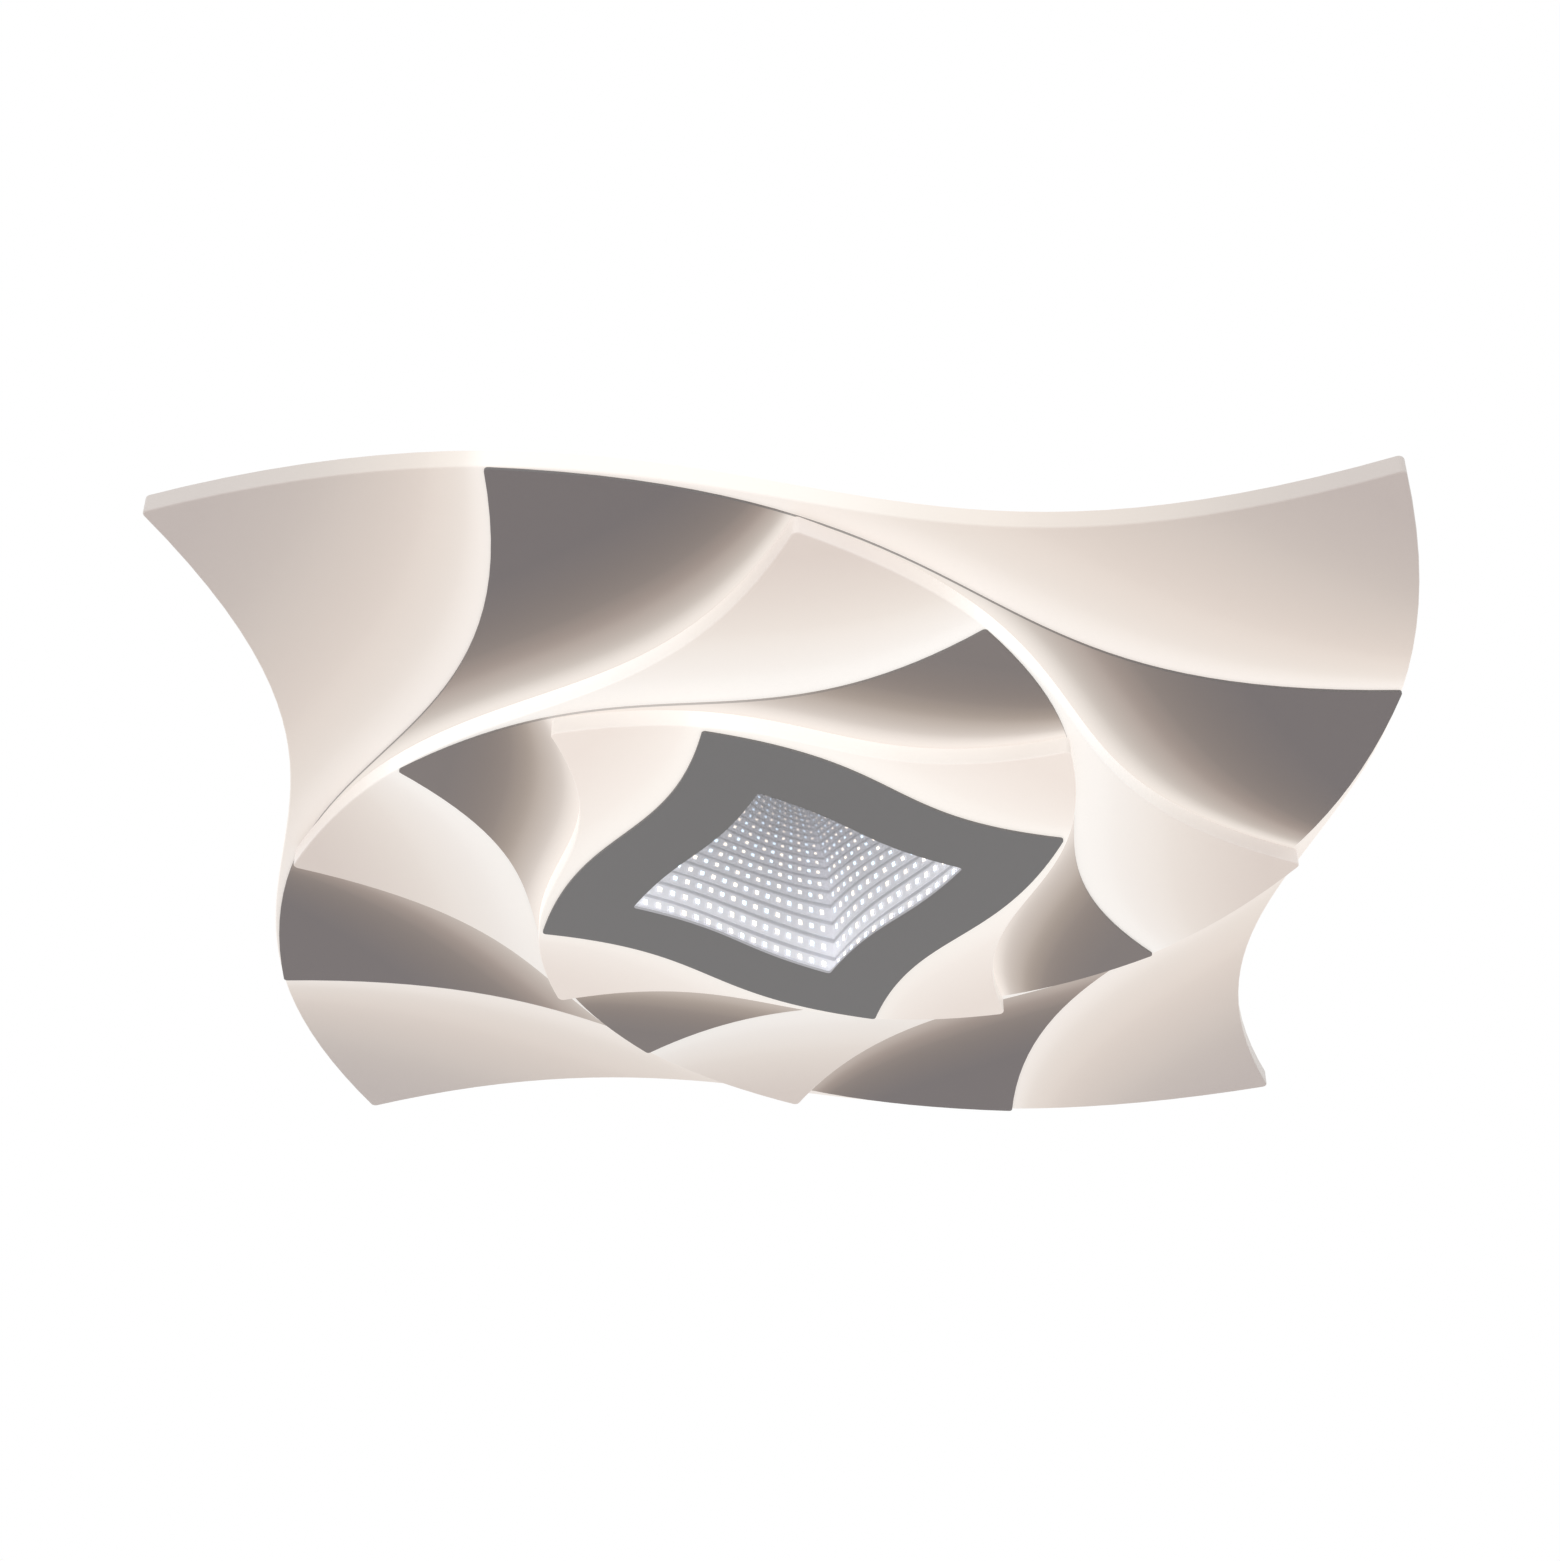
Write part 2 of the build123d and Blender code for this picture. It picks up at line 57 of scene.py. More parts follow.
camera.rotation_euler = (CAMERA_AIM - CAMERA_PLACE).to_track_quat("-Z", "Y").to_euler()
camera.rotation_euler.rotate_axis("Z", CAMERA_ROLL)
camera.data.lens = CAMERA_LENS
camera.data.sensor_width = CAMERA_SENSOR
scene = bpy.context.scene
scene.camera = camera
scene.view_settings.view_transform = "Standard"

WHITE = (1.0, 1.0, 1.0, 1.0)
world = bpy.data.worlds.new("studio")
scene.world = world
world.use_nodes = True
world.node_tree.nodes["Background"].inputs["Color"].default_value = WHITE
world.node_tree.nodes["Background"].inputs["Strength"].default_value = 1.0

LAMP_PLACE = Vector((-1.1, -1.9, -0.5))
LAMP_WIDE = 1.6
LAMP_POWER = 9.0
bpy.ops.object.light_add(type="AREA", location=LAMP_PLACE)
lamp = bpy.context.object
lamp.rotation_euler = (-LAMP_PLACE).to_track_quat("-Z", "Y").to_euler()
lamp.data.shape = "DISK"
lamp.data.size = LAMP_WIDE
lamp.data.energy = LAMP_POWER


def add(tree, kind, place=(0, 0), **values):
    """Adds a shader node and sets its values by name."""
    made = tree.nodes.new(kind)
    made.location = place
    for key, value in values.items():
        setattr(made, key, value)
    return made


FLOOR_Z = -1.3
FLOOR_SIDE = 30.0
bpy.ops.object.select_all(action="DESELECT")
bpy.ops.mesh.primitive_plane_add(size=FLOOR_SIDE, location=(0, 0, FLOOR_Z))
floor = bpy.context.object
floor.name = "floor"
floor_paint = bpy.data.materials.new("pale_floor")
floor_paint.use_nodes = True
tree = floor_paint.node_tree
floor_noise = add(tree, "ShaderNodeTexNoise", (-600, 0))
floor_noise.inputs["Scale"].default_value = 2.0
floor_tint = add(tree, "ShaderNodeMix", (-300, 0), data_type="RGBA")
floor_tint.inputs["A"].default_value = (0.79, 0.79, 0.79, 1.0)
floor_tint.inputs["B"].default_value = (0.81, 0.81, 0.81, 1.0)
floor_spot = add(tree, "ShaderNodeTexCoord", (-800, 0))
tree.links.new(floor_spot.outputs["Object"], floor_noise.inputs["Vector"])
tree.links.new(floor_noise.outputs["Fac"], floor_tint.inputs["Factor"])
tree.links.new(floor_tint.outputs["Result"], tree.nodes["Principled BSDF"].inputs["Base Color"])
tree.nodes["Principled BSDF"].inputs["Roughness"].default_value = 0.8
floor.data.materials.append(floor_paint)


# Ceiling bracket and its thumb screws: bent steel strap and turned screws, zinc plated.
# The plating is a fine bright crystal grain, duller in patches where it was handled.
def new_group(name, takes, gives):
    """Node group with number inputs and the given outputs, and its two end nodes."""
    group = bpy.data.node_groups.new(name, "ShaderNodeTree")
    for label, value in takes:
        socket = group.interface.new_socket(label, in_out="INPUT", socket_type="NodeSocketFloat")
        socket.default_value = value
    for label in gives:
        group.interface.new_socket(label, in_out="OUTPUT", socket_type="NodeSocketFloat")
    return group, add(group, "NodeGroupInput", (-900, 0)), add(group, "NodeGroupOutput", (1100, 0))


def grain_group():
    """Slow patches and a fine height, as plated, painted and moulded faces have."""
    group, ins, outs = new_group("surface_grain", [("Fine", 900.0), ("Broad", 35.0)], ["Patches", "Height"])
    spot = add(group, "ShaderNodeTexCoord", (-900, 300))
    fine = add(group, "ShaderNodeTexNoise", (-500, 200))
    fine.inputs["Detail"].default_value = 3.0
    broad = add(group, "ShaderNodeTexNoise", (-500, -100))
    broad.inputs["Detail"].default_value = 2.0
    group.links.new(spot.outputs["Object"], fine.inputs["Vector"])
    group.links.new(spot.outputs["Object"], broad.inputs["Vector"])
    group.links.new(ins.outputs["Fine"], fine.inputs["Scale"])
    group.links.new(ins.outputs["Broad"], broad.inputs["Scale"])
    group.links.new(broad.outputs["Fac"], outs.inputs["Patches"])
    group.links.new(fine.outputs["Fac"], outs.inputs["Height"])
    return group


surface_grain = grain_group()


def grained(name, color, roughness, metallic=0.0, fine=900.0, broad=35.0,
            depth=0.00002, spread=0.12, fade=0.06):
    """Material whose colour and gloss wander a little over a finely uneven face."""
    made = bpy.data.materials.new(name)
    made.use_nodes = True
    tree = made.node_tree
    shader = tree.nodes["Principled BSDF"]
    shader.inputs["Base Color"].default_value = (*color, 1.0)
    shader.inputs["Roughness"].default_value = roughness
    shader.inputs["Metallic"].default_value = metallic
    grain = add(tree, "ShaderNodeGroup", (-700, 0), node_tree=surface_grain)
    grain.inputs["Fine"].default_value = fine
    grain.inputs["Broad"].default_value = broad
    rough = add(tree, "ShaderNodeMapRange", (-450, 0))
    rough.inputs["To Min"].default_value = roughness - spread / 2
    rough.inputs["To Max"].default_value = roughness + spread / 2
    tint = add(tree, "ShaderNodeMix", (-450, 250), data_type="RGBA")
    tint.inputs["A"].default_value = (*(level * (1 - fade) for level in color), 1.0)
    tint.inputs["B"].default_value = (*(level * (1 + fade) for level in color), 1.0)
    bump = add(tree, "ShaderNodeBump", (-250, -200))
    bump.inputs["Distance"].default_value = depth
    bump.inputs["Strength"].default_value = 0.6
    tree.links.new(grain.outputs["Patches"], rough.inputs["Value"])
    tree.links.new(grain.outputs["Patches"], tint.inputs["Factor"])
    tree.links.new(grain.outputs["Height"], bump.inputs["Height"])
    tree.links.new(rough.outputs["Result"], shader.inputs["Roughness"])
    tree.links.new(tint.outputs["Result"], shader.inputs["Base Color"])
    tree.links.new(bump.outputs["Normal"], shader.inputs["Normal"])
    return made


def coat(piece, made):
    """Gives a piece this material in place of any that it has."""
    piece.data.materials.clear()
    piece.data.materials.append(made)


def finish_nodes(made, *names):
    """Gives carried-over nodes this material in place of the one that they came with."""
    for name in names:
        coat(nodes[name], made)


zinc = grained("zinc_plate", (0.60, 0.61, 0.63), 0.34, 1.0, fine=1400.0, broad=160.0, spread=0.20)
finish_nodes(zinc, "ceiling_bracket", "thumb_screws")

# Base pan: pressed sheet steel with a white powder coat, joined to the outer carrier by
# four plated screws. A black rubber grommet takes the leads through its floor.
powder_coat = grained("white_powder_coat", (0.76, 0.76, 0.75), 0.48, fine=1100.0, broad=25.0,
                      depth=0.00005, fade=0.02)
finish_nodes(powder_coat, "base_pan")
finish_nodes(zinc, "pan_screws")
black_rubber = grained("black_rubber", (0.030, 0.030, 0.030), 0.62, fine=1800.0, broad=90.0)
finish_nodes(black_rubber, "wire_grommet")

# Drivers, terminal block and earth screw on the pan floor: moulded housings, plated
# lug screws, and brass clamp screws in the block.
moulded_white = grained("moulded_white", (0.74, 0.74, 0.71), 0.42, fine=2200.0, broad=60.0, fade=0.03)
finish_nodes(moulded_white, "panel_driver", "mirror_driver", "terminal_block")
finish_nodes(zinc, "driver_screws", "earth_screw")
brass = grained("brass", (0.70, 0.52, 0.26), 0.28, 1.0, fine=1500.0, broad=200.0)
finish_nodes(brass, "terminal_screws")

# Carriers and light boards: powder-coated plates that close the trays, and the curved
# boards under them, with white solder resist and yellow phosphor on each chip.
finish_nodes(powder_coat, "outer_carrier", "middle_carrier", "inner_carrier")
solder_resist = grained("white_solder_resist", (0.80, 0.80, 0.78), 0.36, fine=2600.0, broad=80.0, fade=0.03)
finish_nodes(solder_resist, "outer_light_boards", "middle_light_boards", "inner_light_boards")
phosphor = grained("phosphor_gel", (0.85, 0.74, 0.36), 0.30, fine=2600.0, broad=300.0)
finish_nodes(phosphor, "outer_chips", "middle_chips", "inner_chips")

# Studs, spacers, pads and nuts that hang each level from the one above: plated steel
# studs welded under a carrier, moulded spacers inside its tray, rubber pads that keep
# the shadow gap, and plated nuts under the next carrier.
finish_nodes(zinc, "upper_studs", "upper_nuts", "lower_studs", "lower_nuts")
finish_nodes(moulded_white, "upper_spacers", "lower_spacers")
finish_nodes(black_rubber, "upper_pads", "lower_pads")


# Trays: milky acrylic, moulded with a wall and an inner ledge, and lit from inside.
# The face is brightest beside the sheet stuck to it and dimmer towards its tips, and
# the wall, where light gathers in the thickness of the acrylic, is brighter still.
PANEL_SIDE = ((0.50, 0.150), (0.55, -0.178))
SIDES = 4
OUTLINE_STEPS = 40
TIP_ROUND = 0.0033
TRAY_DEPTH = 0.010
TRAY_WALL = 0.003
TRAY_LEDGE = 0.002
TRAY_FACE = 0.0025
CARRIER_SHEET = 0.0015
TRAY_EDGE = 0.0010
TIP_STEPS = 6
EDGE_STEPS = 3
SMOOTH_BELOW = radians(40)
NEAR = 0.00001
OUTER_PANEL = (0.3925, radians(-135.0))
OUTER_SHADE = (0.3230, radians(-112.0))
MIDDLE_PANEL = (0.2655, radians(-87.5))
MIDDLE_SHADE = (0.2165, radians(-63.5))
INNER_PANEL = (0.1780, radians(-39.0))
CENTRE_FRAME = (0.1435, radians(-15.5))


def side_points(reach, turn, side, index):
    """Start, two pull points and end of one side of an outline."""
    angles = [turn + index * pi / 2, turn + (index + 1) * pi / 2]
    start, end = [Vector((reach * cos(angle), reach * sin(angle), 0)) for angle in angles]
    along = end - start
    outward = Vector((along.y, -along.x, 0))
    return [start, *[start + along * share + outward * lift for share, lift in side], end]


def side_spot(points, share):
    """Point on a side, and the direction that the side runs there."""
    legs = [a.lerp(b, share) for a, b in zip(points, points[1:])]
    bends = [a.lerp(b, share) for a, b in zip(legs, legs[1:])]
    return bends[0].lerp(bends[1], share), (bends[1] - bends[0]).normalized()


def draw_outline(curve, reach, turn, side):
    """Adds one closed outline to a curve: four tips, with the pull points as handles."""
    spline = curve.splines.new("BEZIER")
    spline.bezier_points.add(SIDES - 1)
    spline.use_cyclic_u = True
    for index, point in enumerate(spline.bezier_points):
        point.handle_left_type = point.handle_right_type = "FREE"
        point.co, point.handle_right = side_points(reach, turn, side, index)[:2]
        point.handle_left = side_points(reach, turn, side, index - 1)[2]


def pick(piece):
    """Makes a piece the only selected one, and the active one."""
    bpy.ops.object.select_all(action="DESELECT")
    piece.select_set(True)
    bpy.context.view_layer.objects.active = piece


def select_faces(piece, wanted):
    """Selects the faces that a test accepts, and leaves the piece in edit mode."""
    bpy.ops.object.mode_set(mode="EDIT")
    bpy.ops.mesh.select_mode(type="FACE")
    bpy.ops.mesh.select_all(action="DESELECT")
    bpy.ops.object.mode_set(mode="OBJECT")
    for face in piece.data.polygons:
        face.select = wanted(face)
    bpy.ops.object.mode_set(mode="EDIT")


def plate(name, outlines, top, depth):
    """Flat plate inside an outline, with sharp tips. A second outline is a hole."""
    bpy.ops.object.select_all(action="DESELECT")
    bpy.ops.curve.primitive_bezier_circle_add(location=(0, 0, top))
    piece = bpy.context.object
    piece.name = name
    piece.data.splines.clear()
    piece.data.resolution_u = OUTLINE_STEPS
    for outline in outlines:
        draw_outline(piece.data, *outline)
    bpy.ops.object.convert(target="MESH")
    bpy.ops.object.transform_apply(location=True, rotation=True, scale=True)
    bpy.ops.object.mode_set(mode="EDIT")
    bpy.ops.mesh.select_all(action="SELECT")
    if len(outlines) == 1:
        bpy.ops.mesh.edge_face_add()
    else:
        bpy.ops.mesh.bridge_edge_loops()
    bpy.ops.mesh.extrude_region_move(TRANSFORM_OT_translate={"value": (0, 0, -depth)})
    bpy.ops.mesh.select_all(action="SELECT")
    bpy.ops.mesh.normals_make_consistent(inside=False)
    bpy.ops.object.mode_set(mode="OBJECT")
    return bpy.context.object


def round_plate(piece, outlines, edge, tip):
    """Rounds a plate's tips as seen from below, and then its outside edges."""
    tips = [side_points(*outline, index)[0] for outline in outlines for index in range(SIDES)]
    bpy.ops.object.mode_set(mode="EDIT")
    bpy.ops.mesh.select_mode(type="EDGE")
    bpy.ops.mesh.select_all(action="DESELECT")
    bpy.ops.object.mode_set(mode="OBJECT")
    for line in piece.data.edges:
        low, high = [piece.data.vertices[end].co for end in line.vertices]
        upright = (low.xy - high.xy).length < NEAR
        line.select = upright and any((low.xy - spot.xy).length < NEAR for spot in tips)
    bpy.ops.object.mode_set(mode="EDIT")
    bpy.ops.mesh.bevel(offset=tip, segments=TIP_STEPS, profile=0.5, clamp_overlap=False)
    bpy.ops.object.mode_set(mode="OBJECT")
    ring = len(outlines) > 1

    def on_rim(face):
        """Whether a face is an outside wall, or any wall of a ring."""
        looks_out = face.normal.xy.dot(face.center.xy) > 0
        return abs(face.normal.z) < 0.1 and (ring or looks_out)

    select_faces(piece, on_rim)
    bpy.ops.mesh.region_to_loop()
    bpy.ops.mesh.bevel(offset=edge, segments=EDGE_STEPS, profile=0.5, clamp_overlap=False)
    bpy.ops.object.mode_set(mode="OBJECT")


def hollow_tray(piece, top):
    """Sinks the carrier's seat and the hollow under it into a plate's upper side."""
    select_faces(piece, lambda face: face.normal.z > 0.99 and face.center.z > top - NEAR)
    hollow_drop = TRAY_DEPTH - TRAY_FACE - CARRIER_SHEET
    for inset, drop in ((TRAY_WALL, CARRIER_SHEET), (TRAY_LEDGE, hollow_drop)):
        bpy.ops.mesh.inset(thickness=inset, use_even_offset=True)
        bpy.ops.mesh.extrude_region_move(TRANSFORM_OT_translate={"value": (0, 0, -drop)})
    bpy.ops.object.mode_set(mode="OBJECT")


def pierce(piece, cutters):
    """Cuts the cutters' shapes out of a piece, and deletes the cutters."""
    for cutter in cutters:
        pick(piece)
        bpy.ops.object.modifier_add(type="BOOLEAN")
        piece.modifiers[-1].operation = "DIFFERENCE"
        piece.modifiers[-1].solver = "EXACT"
        piece.modifiers[-1].object = cutter
        bpy.ops.object.modifier_apply(modifier=piece.modifiers[-1].name)
        bpy.data.objects.remove(cutter)


def smooth_edges(piece):
    """Smooth shading on the round edges, with the flat faces kept flat."""
    pick(piece)
    bpy.ops.object.shade_smooth_by_angle(angle=SMOOTH_BELOW)
    bpy.ops.object.modifier_add(type="WEIGHTED_NORMAL")
    piece.modifiers[-1].keep_sharp = True
    piece.modifiers[-1].weight = 80
    bpy.ops.object.modifier_apply(modifier=piece.modifiers[-1].name)


def beyond_group():
    """Distance of a spot beyond the outline of the next panel, in metres. The light
    that escapes round that panel fades with it."""
    group, ins, outs = new_group("beyond_outline", [("Reach", 0.3), ("Turn", 0.0)], ["Distance"])
    spot = add(group, "ShaderNodeTexCoord", (-900, 300))
    split = add(group, "ShaderNodeSeparateXYZ", (-700, 300))
    angle = add(group, "ShaderNodeMath", (-500, 300), operation="ARCTAN2")
    turned = add(group, "ShaderNodeMath", (-300, 300), operation="SUBTRACT")
    quarter = add(group, "ShaderNodeMath", (-100, 300), operation="FLOORED_MODULO")
    quarter.inputs[1].default_value = pi / 2
    share = add(group, "ShaderNodeMath", (100, 300), operation="DIVIDE")
    share.inputs[1].default_value = pi / 2
    rim = add(group, "ShaderNodeFloatCurve", (250, 300))
    rim_points = rim.mapping.curves[0].points
    side = side_points(1.0, 0.0, PANEL_SIDE, 0)
    rim_steps = 16
    for index in range(1, rim_steps):
        place = side_spot(side, index / rim_steps)[0]
        rim_points.new(atan2(place.y, place.x) / (pi / 2), hypot(place.x, place.y))
    rim_points[0].location = (0.0, 1.0)
    rim_points[-1].location = (1.0, 1.0)
    rim.mapping.update()
    scaled = add(group, "ShaderNodeMath", (500, 200), operation="MULTIPLY")
    flat = add(group, "ShaderNodeCombineXYZ", (-500, 0))
    away = add(group, "ShaderNodeVectorMath", (-300, 0), operation="LENGTH")
    beyond = add(group, "ShaderNodeMath", (700, 100), operation="SUBTRACT")
    group.links.new(spot.outputs["Object"], split.inputs[0])
    group.links.new(split.outputs["Y"], angle.inputs[0])
    group.links.new(split.outputs["X"], angle.inputs[1])
    group.links.new(angle.outputs[0], turned.inputs[0])
    group.links.new(ins.outputs["Turn"], turned.inputs[1])
    group.links.new(turned.outputs[0], quarter.inputs[0])
    group.links.new(quarter.outputs[0], share.inputs[0])
    group.links.new(share.outputs[0], rim.inputs["Value"])
    group.links.new(rim.outputs[0], scaled.inputs[0])
    group.links.new(ins.outputs["Reach"], scaled.inputs[1])
    group.links.new(split.outputs["X"], flat.inputs["X"])
    group.links.new(split.outputs["Y"], flat.inputs["Y"])
    group.links.new(flat.outputs[0], away.inputs[0])
    group.links.new(away.outputs["Value"], beyond.inputs[0])
    group.links.new(scaled.outputs[0], beyond.inputs[1])
    group.links.new(beyond.outputs[0], outs.inputs["Distance"])
    return group


beyond_outline = beyond_group()


def glow_ramp(tree, next_panel, stops):
    """Colour that fades with the distance from the outline of the next panel. Each stop
    has a distance in metres and a colour."""
    far = stops[-1][0]
    beyond = add(tree, "ShaderNodeGroup", (-1300, -300), node_tree=beyond_outline)
    beyond.inputs["Reach"].default_value, beyond.inputs["Turn"].default_value = next_panel
    fade = add(tree, "ShaderNodeMapRange", (-1100, -300))
    fade.inputs["From Max"].default_value = far
    ramp = add(tree, "ShaderNodeValToRGB", (-900, -300))
    ramp.color_ramp.interpolation = "CARDINAL"
    elements = ramp.color_ramp.elements
    while len(elements) < len(stops):
        elements.new(0.5)
    for element, (place, color) in zip(elements, stops):
        element.position = place / far
        element.color = (*color, 1.0)
    tree.links.new(beyond.outputs["Distance"], fade.inputs["Value"])
    tree.links.new(fade.outputs["Result"], ramp.inputs["Fac"])
    return ramp.outputs["Color"]


def down_mask(tree, full, none):
    """1 on faces that look up or down, falling to 0 on walls."""
    facing = add(tree, "ShaderNodeNewGeometry", (-900, -700))
    split = add(tree, "ShaderNodeSeparateXYZ", (-700, -700))
    level = add(tree, "ShaderNodeMath", (-500, -700), operation="ABSOLUTE")
    mask = add(tree, "ShaderNodeMapRange", (-300, -700))
    mask.inputs["From Min"].default_value = none
    mask.inputs["From Max"].default_value = full
    tree.links.new(facing.outputs["Normal"], split.inputs[0])
    tree.links.new(split.outputs["Z"], level.inputs[0])
    tree.links.new(level.outputs[0], mask.inputs["Value"])
    return mask


ACRYLIC = (0.50, 0.46, 0.44)
BLACK = (0.0, 0.0, 0.0, 1.0)


def acrylic(name, next_panel, stops, wall_glow, painted_tilt):
    """Milky acrylic, lit by a glow that fades away from the next panel, and whose level
    is painted a little brighter towards one side: painted light, by place alone."""
    made = grained(name, ACRYLIC, 0.38, fine=700.0, broad=12.0, depth=0.00001, spread=0.06, fade=0.01)
    tree = made.node_tree
    shader = tree.nodes["Principled BSDF"]
    glow = glow_ramp(tree, next_panel, stops)
    spot = add(tree, "ShaderNodeTexCoord", (-900, -500))
    slope = add(tree, "ShaderNodeVectorMath", (-700, -500), operation="DOT_PRODUCT")
    # Painted light: the glow is made brighter towards +X and towards -Y, by place alone.
    slope.inputs[1].default_value = (*painted_tilt, 0.0)
    level = add(tree, "ShaderNodeMath", (-500, -500), operation="ADD")
    level.inputs[1].default_value = 1.0
    tilted_glow = add(tree, "ShaderNodeVectorMath", (-300, -500), operation="SCALE")
    tree.links.new(spot.outputs["Object"], slope.inputs[0])
    tree.links.new(slope.outputs["Value"], level.inputs[0])
    tree.links.new(glow, tilted_glow.inputs[0])
    tree.links.new(level.outputs[0], tilted_glow.inputs["Scale"])
    mask = down_mask(tree, full=0.95, none=0.3)
    wall = add(tree, "ShaderNodeMix", (-100, -700), data_type="RGBA")
    wall.inputs["A"].default_value = (*wall_glow, 1.0)
    wall.inputs["B"].default_value = BLACK
    both = add(tree, "ShaderNodeMix", (-100, -400), data_type="RGBA", blend_type="ADD")
    both.inputs["Factor"].default_value = 1.0
    tree.links.new(mask.outputs["Result"], wall.inputs["Factor"])
    tree.links.new(tilted_glow.outputs["Vector"], both.inputs["A"])
    tree.links.new(wall.outputs["Result"], both.inputs["B"])
    tree.links.new(both.outputs["Result"], shader.inputs["Emission Color"])
    shader.inputs["Emission Strength"].default_value = 1.0
    return made


def tray(name, node, panel, cutters, made):
    """Tray in place of its CAD node, hollow above, with its holes cut through."""
    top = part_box(node)[1][2]
    piece = plate(name, [(*panel, PANEL_SIDE)], top, TRAY_DEPTH)
    hollow_tray(piece, top)
    round_plate(piece, [(*panel, PANEL_SIDE)], TRAY_EDGE, TIP_ROUND)
    pierce(piece, cutters)
    smooth_edges(piece)
    coat(piece, made)
    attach(piece, "root")
    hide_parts(node)


# Holes through the levels, moulded in the trays and punched in the sheets: for the
# studs, for the leads, for the mirror box and for the magnets that hold its frame.
CENTRE = (0.0, 0.0)
STUD_HOLE_R = 0.0023
UPPER_STUDS = (0.120, radians(-87.5))
LOWER_STUDS = (0.088, radians(-54.5))
WIRE_HOLE_R = 0.011
WINDOW_SIDE = ((0.48, 0.042), (0.52, -0.084))
BOX_HOLE = (0.110, radians(-9.5), WINDOW_SIDE)
MAGNETS = (0.115, radians(-15.5))
MAGNET_HOLE = (0.015, 0.013)
HOLE_CORNERS = 24
CUT_TOP = -0.030
CUT_DEPTH = 0.045


def cut_spots(circle):
    """Centres and turns of four cuts on a circle, or of one if the circle has no radius."""
    reach, turn = circle
    angles = [turn + index * pi / 2 for index in range(SIDES if reach else 1)]
    middle = CUT_TOP - CUT_DEPTH / 2
    return [((reach * cos(angle), reach * sin(angle), middle), angle) for angle in angles]


def round_cutters(radius, circle):
    """Upright round bars where the holes go."""
    cutters = []
    for place, _ in cut_spots(circle):
        bpy.ops.object.select_all(action="DESELECT")
        bpy.ops.mesh.primitive_cylinder_add(
            vertices=HOLE_CORNERS, radius=radius, depth=CUT_DEPTH, location=place)
        cutters.append(bpy.context.object)
    return cutters


def magnet_cutters():
    """Upright blocks where the magnets reach through the inner tray to the frame."""
    cutters = []
    for place, angle in cut_spots(MAGNETS):
        bpy.ops.object.select_all(action="DESELECT")
        bpy.ops.mesh.primitive_cube_add(size=1.0, location=place, rotation=(0, 0, angle))
        bpy.context.object.scale = (*MAGNET_HOLE, CUT_DEPTH)
        cutters.append(bpy.context.object)
    return cutters


def box_cutter():
    """Block inside the outline of the hole that the mirror box goes up through."""
    return plate("box_cutter", [BOX_HOLE], CUT_TOP, CUT_DEPTH)


def outer_cutters():
    return [*round_cutters(STUD_HOLE_R, UPPER_STUDS), *round_cutters(WIRE_HOLE_R, CENTRE)]


def middle_cutters():
    return [*round_cutters(STUD_HOLE_R, LOWER_STUDS), box_cutter()]


def inner_cutters():
    return [box_cutter(), *magnet_cutters()]


# The three trays. Each has its stops of glow, the glow of its wall, and the lean of its
# light's level along X and Y, which differs from tray to tray as the photograph shows.
# Each tray's painted tilt is painted light, brighter towards +X and towards -Y.
OUTER_GLOW = [(0.0, (0.48, 0.45, 0.42)), (0.02, (0.37, 0.33, 0.29)), (0.05, (0.275, 0.225, 0.185)),
              (0.10, (0.145, 0.11, 0.085)), (0.15, (0.07, 0.042, 0.032))]
OUTER_WALL_GLOW = (0.02, 0.04, 0.04)
OUTER_PAINTED_TILT = (0.35, -0.35)
outer_acrylic = acrylic("outer_acrylic", OUTER_SHADE, OUTER_GLOW, OUTER_WALL_GLOW, OUTER_PAINTED_TILT)
tray("outer_tray", "outer_diffuser", OUTER_PANEL, outer_cutters(), outer_acrylic)

MIDDLE_GLOW = [(0.0, (0.50, 0.495, 0.475)), (0.02, (0.443, 0.425, 0.40)), (0.05, (0.353, 0.315, 0.277)),
               (0.10, (0.24, 0.19, 0.157))]
MIDDLE_WALL_GLOW = (0.09, 0.11, 0.12)
MIDDLE_PAINTED_TILT = (0.35, -0.60)
middle_acrylic = acrylic("middle_acrylic", MIDDLE_SHADE, MIDDLE_GLOW, MIDDLE_WALL_GLOW, MIDDLE_PAINTED_TILT)
tray("middle_tray", "middle_diffuser", MIDDLE_PANEL, middle_cutters(), middle_acrylic)

INNER_GLOW = [(0.0, (0.525, 0.505, 0.47)), (0.02, (0.465, 0.427, 0.388)), (0.06, (0.385, 0.33, 0.288))]
INNER_WALL_GLOW = (0.04, 0.07, 0.08)
INNER_PAINTED_TILT = (0.25, -0.70)
inner_acrylic = acrylic("inner_acrylic", CENTRE_FRAME, INNER_GLOW, INNER_WALL_GLOW, INNER_PAINTED_TILT)
tray("inner_tray", "inner_diffuser", INNER_PANEL, inner_cutters(), inner_acrylic)

# Grey sheets: thin plates with a smooth matt grey paint, stuck to the trays' faces.
# A painted pool of light from the wall of the next tray lies over them and dies away,
# and their cut edges carry a share of this painted light.
SHEET = 0.0015
SHEET_EDGE = 0.00025
SHEET_TIP_ROUND = 0.0020
GREY = (0.158, 0.151, 0.151)


